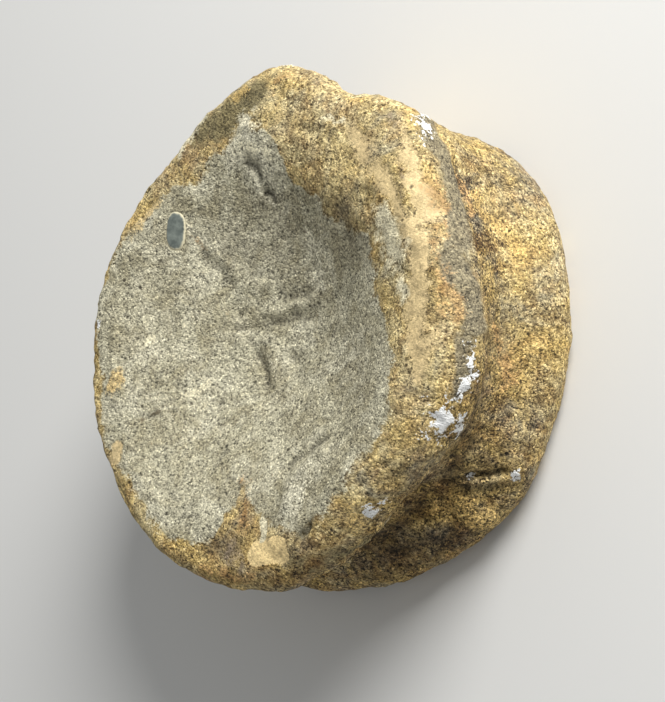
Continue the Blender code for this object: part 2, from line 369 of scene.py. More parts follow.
def disc_grid(cells):
    """Share of the radius and angle at each point of a square grid bent into a disc.

    Squares about the middle become circles: the larger coordinate is the share of the radius, and the smaller
    one, as a share of it, is an eighth of a turn either way.
    """
    a, b = np.meshgrid(np.linspace(-1, 1, cells + 1), np.linspace(-1, 1, cells + 1), indexing="ij")
    a, b = a.ravel(), b.ravel()
    wide = np.abs(a) >= np.abs(b)
    long, short = np.where(wide, a, b), np.where(wide, b, a)
    eighth = np.pi / 4 * short / np.where(long == 0, 1.0, long)
    angle = np.where(wide, eighth, np.pi / 2 - eighth) + np.where(long < 0, np.pi, 0.0)
    return np.abs(long), np.mod(angle, 2 * np.pi)


def grid_edge(cells):
    """Indices of the grid's outer points, in the order of their angle from -45 degrees."""
    index = np.arange((cells + 1) ** 2).reshape(cells + 1, cells + 1)
    return np.concatenate([index[-1, :-1], index[::-1, -1][:-1], index[0, ::-1][:-1], index[:-1, 0]])


def grid_quads(index):
    """Four corners of each cell of a grid of indices, anticlockwise."""
    return np.stack([index[:-1, :-1], index[1:, :-1], index[1:, 1:], index[:-1, 1:]], axis=-1).reshape(-1, 4)


share, face_angle = disc_grid(FACE_CELLS)
edge = grid_edge(FACE_CELLS)
face_count = len(share)
band_run = np.linspace(FRONT_EDGE_RUN, BACK_EDGE_RUN, BAND_CELLS + 1)[1:-1]
back_run = PROFILE_RUN[-1] - (PROFILE_RUN[-1] - BACK_EDGE_RUN) * share
RUN = np.concatenate([FRONT_EDGE_RUN * share, back_run, np.repeat(band_run, len(edge))])
ANGLE = np.concatenate([face_angle, face_angle, np.tile(face_angle[edge], BAND_CELLS - 1)])
face_index = np.arange(face_count).reshape(FACE_CELLS + 1, FACE_CELLS + 1)
rings = [edge, *(2 * face_count + np.arange(len(edge) * (BAND_CELLS - 1))).reshape(BAND_CELLS - 1, -1)]
rings = np.array([*rings, edge + face_count])
closed_rings = np.concatenate([rings, rings[:, :1]], axis=1)
front_quads = grid_quads(face_index)
back_quads = grid_quads(face_index + face_count)[:, ::-1]
band_quads = grid_quads(closed_rings)
QUADS = np.concatenate([front_quads, back_quads, band_quads])
print("grid", len(RUN), "points,", len(QUADS), "cells")

# %% [markdown]
# The skin
#
# The grid's points take the bone's form, and the cells become faces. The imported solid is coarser, and this
# skin stands for it. The fine roughness comes later, along each point's own normal.

# %% Make the skin


def mesh_of(name, points, faces):
    """A mesh object from arrays of points and faces."""
    mesh = bpy.data.meshes.new(name)
    mesh.from_pydata(points.tolist(), [], faces.tolist())
    piece = bpy.data.objects.new(name, mesh)
    bpy.context.scene.collection.objects.link(piece)
    return piece


def normals_of(mesh):
    """The mesh's normals at its points, as an array."""
    normals = np.empty(len(mesh.vertices) * 3)
    mesh.vertex_normals.foreach_get("vector", normals)
    return normals.reshape(-1, 3)


FORM = bone_form(RUN, ANGLE)
skin = mesh_of("bone_skin", FORM, QUADS)
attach(skin, "root")
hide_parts("centrum")
FORM_NORMALS = normals_of(skin.data)
print("skin", len(skin.data.vertices), "points", len(skin.data.polygons), "faces")

# %% [markdown]
# Noise for numpy
#
# Blender's noise textures work in materials, but the mesh needs noise too, for roughness that shows in the
# outline and for borders that wander. A lattice noise is the simplest: random values at the corners of a
# grid of cubes, blended smoothly between. Layers of half the size and half the strength make it look like
# worn bone.

# %% Make the lattice noise
LATTICE_OFFSET = 300.0
HASH_STEPS = np.array([73856093, 19349663, 83492791])
HASH_SEED_STEP = 40503
HASH_FACTOR = 1274126177
LOW_32_BITS = 0xFFFFFFFF
LOW_16_BITS = 0xFFFF


def lattice_noise(points, size, seed):
    """Noise from -1 to 1: a hashed value at each corner of a cubic lattice, eased between the corners."""
    place = points / size + LATTICE_OFFSET
    cell = np.floor(place).astype(np.int64)
    part = ease(place - cell)
    total = np.zeros(len(points))
    for corner in np.ndindex(2, 2, 2):
        key = (cell + corner) @ HASH_STEPS + HASH_SEED_STEP * seed
        key = ((key ^ (key >> 13)) & LOW_32_BITS) * HASH_FACTOR & LOW_32_BITS
        value = ((key ^ (key >> 16)) & LOW_16_BITS) / (LOW_16_BITS / 2) - 1.0
        total += value * np.prod(np.where(corner, part, 1.0 - part), axis=1)
    return total


def layered_noise(points, size, seed, layers=3):
    """Lattice noises, each of half the size and half the strength of the one before, added up."""
    return sum(lattice_noise(points, size / 2**k, seed + 7 * k) / 2**k for k in range(layers))


def wandered(points, size, reach, seed):
    """The points moved by three noises, so that whatever is measured from them gets a ragged border."""
    shifts = [layered_noise(points, size, seed + 100 * k, 4) for k in range(3)]
    return points + reach * np.stack(shifts, axis=1)


sample = layered_noise(FORM, 0.003, 1)
print("noise from", *np.round([sample.min(), sample.max()], 2))

# %% [markdown]
# The fine folds and pits
#
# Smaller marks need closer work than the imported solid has: the ridge and the two curved creases in the
# middle, a crack and a crease low on the right, a wormlike pit at the top, and single pits. Each is again a
# bell shape across a path, and most are narrow and steep. From here on, the tables of marks are in
# millimetres, so that they read like notes taken at the bench.

# %% Carve the fine folds
MM = 0.001
FINE_FOLDS = [
    ([(-5.8, 8.4), (-3.6, 7.4), (0.5, 8.2), (4.8, 10.6)], 2.4, -0.7),
    ([(-8.6, 1.6), (-5.4, 3.9), (0.2, 5.5), (3.4, 7.3), (8.0, 9.4)], 1.1, 0.85),
    ([(-9.0, -0.4), (-5.2, 1.1), (-1.5, 2.3), (2.8, 3.7), (8.0, 5.6)], 1.5, -0.55),
    ([(-8.4, -2.8), (-4.0, -5.6), (-0.4, -9.0), (1.6, -14.0)], 2.4, 0.8),
    ([(-11.4, -4.0), (-8.5, -5.5), (-6.2, -8.2), (-3.6, -10.6), (-2.0, -13.1), (-1.4, -17.5)], 0.9, -0.7),
    ([(0.0, -3.4), (3.0, -5.6), (6.0, -8.3), (7.4, -11.5)], 1.7, -0.6),
    ([(28.5, -22.5), (25.0, -25.0), (22.5, -28.5)], 1.8, 0.8),
    ([(-17.7, -4.0), (-11.9, -1.8), (-6.1, -1.1)], 0.8, -0.5),
    ([(-17.2, 5.2), (-14.0, 7.7), (-11.3, 6.7)], 1.2, 0.65),
    ([(-10.0, 8.0), (-7.5, 8.9)], 1.3, 0.65),
    ([(-8.6, 1.4), (-7.4, 2.4)], 1.3, 0.4),
    ([(2.6, 18.6), (3.7, 13.6)], 1.7, -0.4),
    ([(26.6, -19.4), (21.9, -22.4), (20.3, -24.8), (18.4, -26.8), (16.6, -28.8), (16.9, -32.0)], 1.3, -1.3),
    ([(24.5, -25.0), (23.0, -31.0), (21.0, -37.5)], 4.6, 1.1),
    ([(30.8, -37.6), (29.3, -40.0), (27.2, -42.5)], 0.7, -1.5),
    ([(-18.0, 35.6), (-16.2, 34.2), (-14.6, 33.8), (-13.2, 31.6)], 1.0, -1.4),
    ([(-12.2, 31.2), (-12.0, 29.2), (-10.2, 28.4), (-9.4, 26.8)], 0.8, -1.3),
    ([(-17.0, 41.0), (-13.5, 36.0), (-6.0, 37.0)], 5.5, 0.9),
    ([(-22.0, 40.4), (-18.6, 42.4), (-14.0, 42.4), (-10.4, 40.0)], 0.9, 0.5),
    ([(-3.0, 46.0), (2.5, 44.8), (7.2, 46.0), (12.0, 46.0)], 0.9, 0.5),
    ([(-4.5, 23.0), (-1.0, 16.5), (3.0, 20.0)], 6.0, -0.7),
    ([(12.0, 29.0), (16.0, 25.0), (17.5, 20.0)], 2.6, -0.6),
    ([(-15.4, 1.3), (-15.1, 1.0)], 0.8, -0.8),
    ([(-17.5, 2.9), (-17.2, 2.7)], 0.6, -0.5),
    ([(-18.5, -19.7), (-17.4, -19.1)], 0.6, -0.45),
    ([(-12.9, -20.7), (-11.9, -20.2)], 0.6, -0.45),
    ([(-24.6, -19.4), (-23.2, -18.2)], 0.6, -0.45),
    ([(-30.0, -28.9), (-25.4, -24.5)], 0.6, -0.4),
    ([(5.9, -28.3), (6.1, -28.4)], 0.7, -0.5),
    ([(-6.5, -31.2), (-6.3, -31.3)], 0.8, -0.5),
    ([(0.7, -35.7), (0.9, -35.9)], 0.7, -0.5),
    ([(8.3, -10.4), (8.8, -10.9)], 0.8, -0.5),
    ([(-27.6, 13.2), (-26.8, 12.2)], 0.9, -0.6),
    ([(-29.3, 15.0), (-26.0, 11.6), (-22.0, 8.6), (-17.0, 4.8)], 0.9, -0.45),
    ([(-26.0, 14.4), (-21.0, 10.8), (-16.0, 8.0)], 1.5, 0.4),
    ([(-36.0, -6.0), (-28.0, 0.5), (-21.0, 3.0)], 2.6, 0.35),
    ([(2.0, -18.0), (-1.0, -25.0), (-3.0, -33.0)], 3.0, 0.3),
    ([(12.0, -3.0), (15.5, -9.0), (15.0, -16.0)], 2.6, 0.3),
    ([(-32.6, 18.0), (-28.6, 14.4)], 0.8, -0.3),
]
TAPER_LENGTHS = 4.0
DISH_FLOOR = 0.026
DISH_FADE = 0.003
DISH_REACH = 0.060
FOLD_WANDER = {"size": 0.0045, "reach": 0.0008, "seed": 91}


def fold_height(plan, folds):
    """The height that the folds add at points in plan, in metres from points in millimetres.

    Each is a bell of the distance from its path. A fold several half widths long tapers to nothing at both
    ends, by one less the fourth power of the way from its middle.
    """
    height = np.zeros(len(plan))
    for path, half_width, rise in folds:
        away, reached = along_path(plan, path)
        length = np.linalg.norm(np.diff(np.array(path), axis=0), axis=1).sum()
        taper = min(1.0, length / half_width / TAPER_LENGTHS) * (2.0 * reached - 1.0) ** 4
        height += rise * MM * (1.0 - taper) * np.exp(-((away / half_width) ** 2))
    return height


ON_FRONT = ease((FORM[:, 2] - DISH_FLOOR) / DISH_FADE) * (RUN < DISH_REACH)
CROOKED = wandered(FORM, **FOLD_WANDER) / MM
FOLDED = ON_FRONT * fold_height(CROOKED[:, :2], FINE_FOLDS)
FORM[:, 2] += FOLDED
print("folds from", *np.round([1000 * FOLDED.min(), 1000 * FOLDED.max()], 2), "mm")

# %% [markdown]
# Where each finish lies
#
# The bone shows many minerals: grey stone, ochre and brown bone, smooth buff streaks, a slate-grey band
# round the rim, white crust. They could be painted by hand, but a painted picture can't be read or changed.
# So each finish gets one number at each point of the skin. It is one half on the finish's border, more
# inside and less outside, and the border's softness says how far grain may push it about.

# %% Mark the grey stone
STONE_EDGE = {
    0: 39.4, 8: 35.8, 19: 32.2, 30: 31.8, 40: 31.2, 53: 29.0, 69: 28.6, 79: 29.6, 91: 32.0, 98: 36.4,
    103: 40.8, 108: 44.0, 114: 45.8, 123: 45.6, 131: 43.0, 139: 42.0, 146: 43.5, 154: 46.5, 164: 48.5,
    184: 50.5, 201: 50.5, 223: 50.0, 240: 51.5, 256: 53.0, 262: 52.5, 268: 51.5, 273: 49.0, 276: 43.0,
    279: 36.5, 284: 39.4, 289: 41.5, 296: 44.9, 304: 50.0, 311: 48.8, 318: 47.5, 325: 46.8, 336: 45.7,
    345: 44.6, 353: 42.0,
}
BACK_STONE = {0: 30, 40: 36, 90: 33, 130: 26, 180: 31, 230: 37, 280: 29, 320: 34}
FRONT_STONE_SOFTNESS = 2.6
BACK_STONE_SOFTNESS = 3.0
FRONT_FACE_RUN = 0.0585
BACK_FACE_RUN = 0.050
SLOW_WANDER = {"size": 0.012, "reach": 0.0024, "seed": 71}
QUICK_WANDER = {"size": 0.0036, "reach": 0.0010, "seed": 72}
FROM_AXIS = np.hypot(FORM[:, 0], FORM[:, 1]) / MM
ROUND = np.arctan2(FORM[:, 1], FORM[:, 0])
RAGGED = wandered(wandered(FORM, **SLOW_WANDER), **QUICK_WANDER)
ragged_axis = np.hypot(RAGGED[:, 0], RAGGED[:, 1]) / MM
ragged_round = np.arctan2(RAGGED[:, 1], RAGGED[:, 0])


def inside(distance, border, softness):
    """One half where the distance is the border's, more nearer by, and 0 or 1 past the softness."""
    return np.clip(0.5 + (border - distance) / (2.0 * softness), 0.0, 1.0)


front_edge = ring_through(STONE_EDGE, ragged_round)
back_edge = ring_through(BACK_STONE, ragged_round)
front_face = RUN < FRONT_FACE_RUN
back_face = RUN > PROFILE_RUN[-1] - BACK_FACE_RUN
zones = {"stone": front_face * inside(ragged_axis, front_edge, FRONT_STONE_SOFTNESS)}
zones["stone"] += back_face * inside(ragged_axis, back_edge, BACK_STONE_SOFTNESS)
print("stone covers", round(100 * float((zones["stone"] > 0.5).mean())), "% of the points")

# %% [markdown]
# Everything that isn't grey stone is marked by paths through its middle, with a half width. A path with a
# small softness has a crisp border, as the cream patch has, and a large one fades. The places are those of
# the front and of the right flank. Not every mark is a mineral: some are painted light and painted shade,
# laid where the dish and the flanks are lit or shaded.

# %% Mark the other finishes
MARKS = {
    "buff": [
        ([(35.0, 37.4, 43.1), (37.0, 35.3, 42.6), (39.4, 32.0, 42.3), (40.3, 28.7, 43.5)], 2.2, 1.2),
        ([(35.8, 26.7, 44.9), (39.0, 24.0, 45.0), (41.3, 19.7, 44.8), (43.8, 11.2, 44.5)], 4.0, 2.0),
        ([(45.5, 7.4, 44.4), (47.6, 3.6, 44.3), (48.5, -1.0, 44.2)], 2.4, 3.0),
        ([(13.6, 46.7, 43.7), (17.9, 43.1, 43.9), (24.4, 38.3, 44.3), (33.9, 29.2, 44.9)], 2.2, 2.4),
        ([(26.2, 46.8, 43.0), (29.0, 43.3, 43.7)], 1.0, 1.5),
        ([(30.1, 42.3, 43.6), (32.5, 40.1, 43.4)], 1.6, 1.6),
        ([(-47.0, 11.5, 44.4), (-44.5, 15.6, 44.0), (-40.4, 20.5, 43.5)], 0.7, 1.8),
        ([(-33.4, -38.0, 44.2), (-33.0, -35.5, 44.1)], 1.9, 0.8),
    ],
    "cream": [
        ([(16.2, -47.0, 43.2), (24.1, -44.9, 43.9), (24.2, -47.4, 43.1), (17.3, -49.8, 43.2)], 1.1, 0.4),
        ([(16.2, -48.5, 43.2), (24.7, -46.2, 43.5)], 1.8, 0.4),
        ([(16.8, -46.2, 43.2), (24.0, -44.0, 43.8)], 1.6, 0.4),
    ],
    "pale": [
        ([(28.0, 26.0, 43.0), (29.8, 22.6, 42.8), (32.2, 19.4, 42.8)], 3.2, 4.6),
        ([(34.5, 15.6, 43.1), (38.6, 11.5, 43.6)], 1.5, 2.6),
        # Painted light: this path lightens the lobe at the top left of the stone, which lies in shade.
        ([(-18.8, 39.1, 42.9), (-12.1, 36.3, 41.6)], 1.2, 4.0),
        ([(15.8, -40.9, 42.7), (17.2, -42.7, 43.1), (17.6, -44.2, 43.3)], 1.1, 0.4),
        ([(-17.5, -16.6, 35.7), (-21.5, -20.0, 37.0)], 0.8, 1.2),
        ([(-35.5, -9.5, 40.4), (-34.5, -8.5, 40.4)], 0.8, 0.8),
        ([(-33.0, 19.6, 41.3), (-31.0, 18.0, 40.5)], 0.7, 0.7),
        ([(-35.9, 34.6, 43.6), (-33.6, 39.2, 43.7), (-31.2, 43.8, 43.6)], 1.0, 1.2),
        ([(-22.2, 40.5, 43.3), (-18.6, 42.2, 43.5), (-14.0, 42.2, 43.5), (-10.6, 40.3, 43.0)], 0.4, 0.9),
        ([(-2.2, 46.3, 43.7), (2.5, 45.2, 43.7), (7.2, 46.3, 43.6), (11.3, 46.5, 43.6)], 0.5, 1.0),
        ([(7.3, -36.6, 40.9), (9.9, -40.1, 42.0)], 0.3, 0.5),
        # Painted highlights: these three thin lines lie on the crests of two knobs and a ridge in the dish.
        ([(-16.4, 5.8, 34.1), (-14.0, 7.7, 33.8), (-11.7, 6.9, 33.5)], 0.4, 1.4),
        ([(-10.0, 8.0, 33.2), (-7.5, 8.9, 32.8)], 0.4, 1.4),
        ([(-8.6, 1.6, 33.4), (-5.4, 3.9, 32.8), (0.2, 5.5, 32.2), (3.0, 7.3, 32.1)], 0.1, 1.2),
        ([(-25.0, -24.0, 39.6), (-21.0, -20.4, 37.2)], 0.2, 0.8),
    ],
    "slate": [
        ([(29.4, 49.2, 37.5), (33.2, 45.2, 37.7), (37.3, 39.5, 36.7), (41.2, 33.4, 37.3)], 3.2, 1.6),
        ([(41.2, 33.4, 37.3), (46.3, 26.5, 38.0), (50.4, 19.7, 38.8), (53.3, 12.9, 38.6)], 3.1, 1.6),
        ([(53.3, 12.9, 38.6), (55.2, 6.1, 38.2), (55.7, 0.6, 38.0), (54.8, -4.0, 38.0)], 3.0, 2.2),
    ],
    "ochre": [
        ([(43.0, -27.9, 13.5), (45.4, -28.7, 11.2), (47.4, -29.7, 8.9)], 2.6, 2.2),
        ([(-24.5, 48.9, 43.9), (-19.0, 51.5, 43.9)], 1.0, 1.6),
        ([(-46.5, 12.0, 44.2), (-43.5, 17.0, 43.9), (-40.4, 20.5, 43.5)], 1.4, 2.2),
        ([(-40.5, -23.2, 44.1), (-39.4, -21.2, 43.8)], 1.9, 1.6),
        ([(36.0, -32.6, 44.0), (38.2, -34.9, 41.5)], 1.8, 2.5),
        ([(39.5, 38.5, 26.0), (42.0, 34.0, 22.0), (46.0, 27.0, 19.0)], 2.6, 4.0),
        ([(8.0, 53.5, 43.0), (14.0, 53.0, 42.5)], 1.5, 2.0),
    ],
    "rust": [
        ([(36.9, 37.7, 41.1), (39.9, 33.6, 40.5), (42.7, 29.2, 41.0), (46.2, 23.6, 41.9)], 1.0, 1.6),
        ([(43.8, 26.3, 42.2), (47.3, 21.2, 42.3), (50.0, 15.8, 42.3), (51.9, 9.9, 42.4)], 1.6, 2.2),
        ([(37.8, 38.1, 31.1), (39.3, 35.5, 29.9), (40.9, 33.2, 29.7)], 1.6, 2.2),
        ([(-9.8, 54.1, 43.8), (-6.9, 55.5, 43.1), (-2.9, 55.0, 42.5)], 1.2, 2.0),
        ([(6.1, -35.0, 40.3), (8.1, -39.4, 41.8), (11.6, -43.8, 42.7)], 1.5, 1.8),
        ([(3.2, -54.6, 43.5), (10.0, -54.9, 42.9), (17.2, -53.7, 42.1)], 1.4, 2.4),
        ([(-31.3, 16.8, 40.4), (-29.3, 15.0, 39.1), (-27.2, 12.7, 37.9)], 0.4, 0.7),
        ([(48.9, 10.9, 21.6), (50.5, 0.9, 17.6)], 1.8, 4.0),
    ],
    "plum": [
        ([(9.1, -48.2, 43.1), (12.0, -50.8, 43.2)], 2.0, 3.0),
        ([(31.8, 38.0, 44.4), (34.0, 35.8, 44.2), (34.3, 32.7, 44.7)], 0.7, 1.2),
        ([(36.8, 28.6, 44.8), (38.1, 27.7, 44.7)], 0.5, 1.0),
        ([(44.7, 15.3, 44.7), (45.8, 14.7, 44.6)], 0.5, 1.0),
        ([(21.5, 49.0, 43.0), (23.3, 46.8, 43.7)], 0.8, 2.0),
        ([(16.9, -44.6, 43.1), (19.2, -44.2, 43.5)], 0.5, 1.0),
    ],
    "olive": [
        ([(-30.9, 40.4, 43.7), (-25.4, 44.5, 43.8), (-19.8, 48.1, 44.0), (-14.0, 50.9, 44.0)], 2.6, 2.2),
        ([(28.1, -46.2, 42.0), (33.6, -42.8, 39.7), (38.0, -38.8, 36.4)], 2.0, 3.0),
        ([(28.5, 37.5, 43.8), (26.5, 35.0, 43.6), (23.0, 33.0, 43.6)], 1.3, 2.0),
    ],
    # Painted light: these marks lighten stone that lies in shade, at the top left, top, low right and middle.
    "light": [
        ([(-17.6, 41.0, 43.2), (-16.1, 36.5, 42.0), (-12.5, 31.5, 39.6)], 4.4, 5.0),
        ([(3.5, 21.0, 36.0), (5.5, 15.0, 33.8)], 2.0, 5.0),
        ([(26.0, -30.0, 42.0), (24.0, -36.0, 43.0)], 3.2, 4.5),
        ([(-5.0, -6.0, 31.9), (0.5, -10.5, 31.9)], 1.0, 2.6),
    ],
    # Painted shade: these marks darken the stone in the hollows of the dish and below its ridge, where shade
    # falls.
    "painted_shade": [
        ([(-13.0, 25.5, 37.0), (-7.3, 20.5, 35.2), (-6.0, 15.0, 33.8)], 3.0, 5.0),
        ([(12.3, 28.7, 41.1), (15.9, 24.9, 40.3), (17.5, 20.0, 38.6)], 3.0, 4.0),
        ([(-4.6, 8.6, 32.0), (4.8, 10.6, 32.6)], 0.8, 2.6),
        ([(-19.7, 16.1, 36.1), (-11.7, 13.7, 34.2)], 2.6, 6.0),
        ([(-8.0, 0.2, 32.4), (2.3, 3.7, 32.2)], 0.6, 1.6),
    ],
    # Dark brown and painted shade: on the low right flank, under the right rim, in the groove and in a crease
    # these marks are painted shade; the streak low in the dish is dark brown.
    "umber_and_shade": [
        ([(25.0, -47.0, 12.0), (32.3, -41.5, 15.1), (37.4, -39.8, 10.9), (43.1, -34.5, 9.0)], 2.4, 5.0),
        ([(36.9, -31.0, 20.0), (28.7, -41.7, 20.0)], 3.0, 5.0),
        ([(49.5, -9.0, 25.0), (45.5, -18.0, 21.0), (41.0, -26.0, 18.0)], 0.8, 5.0),
        ([(50.2, 14.0, 28.6), (50.4, 5.0, 26.0), (51.0, -4.0, 27.0)], 0.8, 4.0),
        ([(-29.5, -28.4, 41.8), (-25.9, -25.0, 40.0)], 0.5, 0.5),
        ([(6.1, -35.0, 40.3), (8.1, -39.4, 41.8), (10.5, -42.5, 42.5)], 0.5, 2.0),
        ([(2.0, -50.0, 43.5), (8.0, -48.5, 43.0)], 0.6, 3.0),
    ],
    "crust": [
        ([(55.5, 5.8, 36.5), (55.9, 3.0, 36.2), (56.1, -1.0, 35.6)], 0.9, 2.6),
        ([(56.1, -1.0, 35.1), (55.8, -3.3, 36.6), (55.4, -5.1, 37.2)], 1.2, 2.2),
        ([(53.8, -7.5, 39.7), (53.8, -9.8, 38.3), (52.7, -12.9, 38.0)], 1.9, 2.4),
        ([(54.1, -9.6, 34.0), (53.0, -11.8, 33.1)], 1.0, 2.0),
        ([(52.2, -6.5, 42.0), (53.1, -7.0, 41.0)], 0.5, 2.0),
        ([(50.5, -13.6, 41.4), (50.8, -13.9, 41.0)], 0.5, 1.6),
        ([(40.9, -32.4, 40.1), (41.3, -32.4, 39.0)], 1.5, 1.8),
        ([(46.0, -20.7, 17.6), (46.3, -21.0, 17.1)], 0.5, 0.8),
        ([(53.2, -16.6, 11.7), (53.6, -17.9, 10.5)], 0.7, 0.9),
        ([(28.5, 49.7, 38.0), (32.4, 46.0, 38.7)], 1.0, 3.0),
        ([(-49.4, -9.5, 45.0), (-49.0, -10.4, 45.0)], 0.5, 0.5),
    ],
    # Painted shade: dark lines in the cracks, along the ledge's crease, in a pit and in the wormlike pit at
    # the top.
    "hollow_shade": [
        ([(30.8, -37.6, 44.1), (29.3, -40.0, 44.0), (27.2, -42.5, 44.0)], 0.5, 0.25),
        ([(42.9, -23.4, 19.0), (46.8, -21.0, 16.3), (49.4, -19.8, 14.5), (52.1, -18.2, 12.4)], 0.7, 0.8),
        ([(51.8, -14.3, 14.9), (52.0, -13.9, 14.2)], 0.8, 0.6),
        ([(52.8, -20.0, 10.0), (53.2, -21.0, 7.9)], 0.4, 1.6),
        ([(-17.6, 35.4, 41.5), (-15.4, 34.0, 40.2), (-13.4, 32.0, 39.4)], 0.4, 0.8),
        ([(-12.0, 30.6, 39.0), (-11.0, 28.8, 38.2), (-9.6, 27.0, 37.4)], 0.2, 0.8),
        ([(33.2, 44.5, 23.2), (34.3, 43.5, 21.3), (36.6, 42.3, 17.4)], 0.3, 0.8),
    ],
}
WANDER_BY_SOFTNESS = 0.7


def marked(points, ragged, marks):
    """The number of a finish: one half at the half width from the nearest mark's path.

    The distance runs from the point itself for a crisp mark, and from the ragged point for a soft one.
    """
    amount = np.zeros(len(points))
    for path, half_width, softness in marks:
        place = points + (ragged - points) * min(1.0, WANDER_BY_SOFTNESS * softness)
        amount = np.maximum(amount, inside(along_path(place / MM, path)[0], half_width, softness))
    return amount


for finish, marks in MARKS.items():
    zones[finish] = marked(FORM, RAGGED, marks)
print({finish: int((zones[finish] > 0.5).sum()) for finish in MARKS}, "points")

# %% [markdown]
# The left flank and the back, which the photo doesn't show, get the same kinds of mark. There is nothing to
# measure them from, so each finish takes the places where a slow wave of noise is high.

# %% Mark the sides that the photo doesn't show
UNSEEN_CLOUDS = [
    ("rust", 101, 0.75),
    ("slate", 102, 0.7),
    ("buff", 103, 0.85),
    ("umber_and_shade", 104, 0.7),
    ("crust", 105, 1.15),
]
UNSEEN_HALF = 112.0
UNSEEN_FADE = 12.0
UNSEEN_FROM_RUN = 0.061
CLOUD_SIZE = 0.013
CLOUD_SOFTNESS = 0.3
unseen = ease((UNSEEN_HALF - np.abs(degrees_from(ROUND, 180))) / UNSEEN_FADE) * (RUN > UNSEEN_FROM_RUN)
unseen = np.maximum(unseen, back_face)
for finish, seed, level in UNSEEN_CLOUDS:
    cloud = inside(-layered_noise(FORM, CLOUD_SIZE, seed, 4), -level, CLOUD_SOFTNESS)
    zones[finish] = np.maximum(zones[finish], unseen * cloud)
print("unseen marks on", int((unseen > 0.5).sum()), "points")

# %% [markdown]
# The rough surface
#
# The stone has settled smooth, the bone is granular, the flanks carry fine ridges along the axis, and the
# low right flank is the most broken. White crust stands a little proud, and the front rim's edge is
# chipped, most on the left. All of that moves the points along their normals. Texture finer than the cells
# is left to the material.

# %% Roughen the skin
WAIST_RUN = (0.0625, 0.104)
WAIST_FADES = (0.003, 0.006)
STONE_ROUGH = 0.00012
BONE_ROUGH = 0.00034
FLANK_RIDGES = 0.00015
BROKEN_FLANK = 0.00085
CRUST_HEIGHT = 0.00040
CHIP_DEPTH = 0.0012
ROUGH_SIZE = 0.0034
RIDGE_SIZE = 0.0015
RIDGE_STRETCH = 0.16
BROKEN_SIZE = 0.0066
BROKEN_STRETCH = 0.45
BROKEN_RIDGES = 1.6
BROKEN_MIDDLE = -45
BROKEN_HALF = 34.0
CRUST_SIZE = 0.0016
CHIP_SIZE = 0.0075
CHIP_RUN = 0.0572
CHIP_WIDTH = 0.0026
WORN_MIDDLE = 165
WORN_HALF = 85.0
RESTING_HEIGHT = 0.002
FLANK_FOLDS = [
    ([(42.9, -23.4, 19.0), (46.8, -21.0, 16.3), (49.4, -19.8, 14.5), (52.1, -18.2, 12.4)], 0.9, -1.4),
    ([(42.0, -25.5, 18.5), (45.0, -24.5, 15.5)], 2.2, -0.3),
    ([(53.0, -4.5, 28.8), (49.6, -10.0, 24.6), (46.1, -17.0, 22.5)], 1.6, -0.4),
    ([(51.9, -14.3, 14.8), (52.0, -13.9, 14.2)], 1.0, -0.9),
    ([(43.0, -27.9, 13.5), (45.4, -28.7, 11.2), (47.4, -29.7, 8.9)], 2.8, 0.9),
    ([(40.0, -26.0, 24.0), (42.0, -30.0, 16.0), (43.5, -33.5, 9.0)], 1.5, -0.9),
    ([(33.5, -33.5, 21.0), (37.0, -36.0, 13.0), (38.0, -38.5, 8.0)], 2.2, 1.0),
    ([(27.0, -38.0, 22.0), (30.0, -42.5, 14.0), (31.0, -45.0, 8.0)], 1.6, -0.9),
    ([(18.0, -44.0, 22.0), (21.0, -48.0, 13.0)], 2.4, 0.8),
    ([(32.6, 44.8, 24.5), (34.3, 43.7, 21.3), (35.6, 42.6, 19.0), (37.4, 42.1, 15.8)], 0.8, -0.8),
    (
        [(35.0, 43.0, 32.6), (40.0, 34.8, 31.6), (46.9, 25.8, 32.0), (51.2, 15.9, 31.4), (52.6, 6.0, 29.6)],
        1.5,
        -0.8,
    ),
]
stone = ease(2.0 * zones["stone"] - 0.5)
on_flank = ease((RUN - WAIST_RUN[0]) / WAIST_FADES[0]) * ease((WAIST_RUN[1] - RUN) / WAIST_FADES[1])
broken = on_flank * near_angle(ROUND, BROKEN_MIDDLE, BROKEN_HALF)
ridge_place = np.stack([FORM[:, 0], FORM[:, 1], RIDGE_STRETCH * FORM[:, 2]], axis=1)
broken_place = np.stack([FORM[:, 0], FORM[:, 1], BROKEN_STRETCH * FORM[:, 2]], axis=1)
rough = (STONE_ROUGH * stone + BONE_ROUGH * (1.0 - stone)) * layered_noise(FORM, ROUGH_SIZE, 11, 4)
rough += FLANK_RIDGES * on_flank * (1.0 + BROKEN_RIDGES * broken) * layered_noise(ridge_place, RIDGE_SIZE, 23)
rough += BROKEN_FLANK * broken * layered_noise(broken_place, BROKEN_SIZE, 31, 4)
for path, half_width, rise in FLANK_FOLDS:
    away = along_path(CROOKED, path)[0]
    rough += on_flank * rise * MM * np.exp(-((away / half_width) ** 2))
rough += CRUST_HEIGHT * ease(3.0 * (zones["crust"] + 0.5 * layered_noise(FORM, CRUST_SIZE, 41) - 0.45))
chip_noise = ease(layered_noise(FORM, CHIP_SIZE, 53) / 0.5 - 0.6)
chipped = np.exp(-(((RUN - CHIP_RUN) / CHIP_WIDTH) ** 2)) * chip_noise
edge_wear = near_angle(ROUND, WORN_MIDDLE, WORN_HALF)
rough -= CHIP_DEPTH * chipped * (0.35 + 0.65 * edge_wear)
resting = np.clip(FORM[:, 2] / RESTING_HEIGHT, 0.0, 1.0)
FORM = FORM + (rough * resting)[:, None] * FORM_NORMALS
FORM[:, 2] = np.maximum(FORM[:, 2], 0.0)
skin.data.vertices.foreach_set("co", FORM.ravel())
skin.data.update()
skin.data.shade_smooth()
print("roughness from", *np.round([1000 * rough.min(), 1000 * rough.max()], 2), "mm")

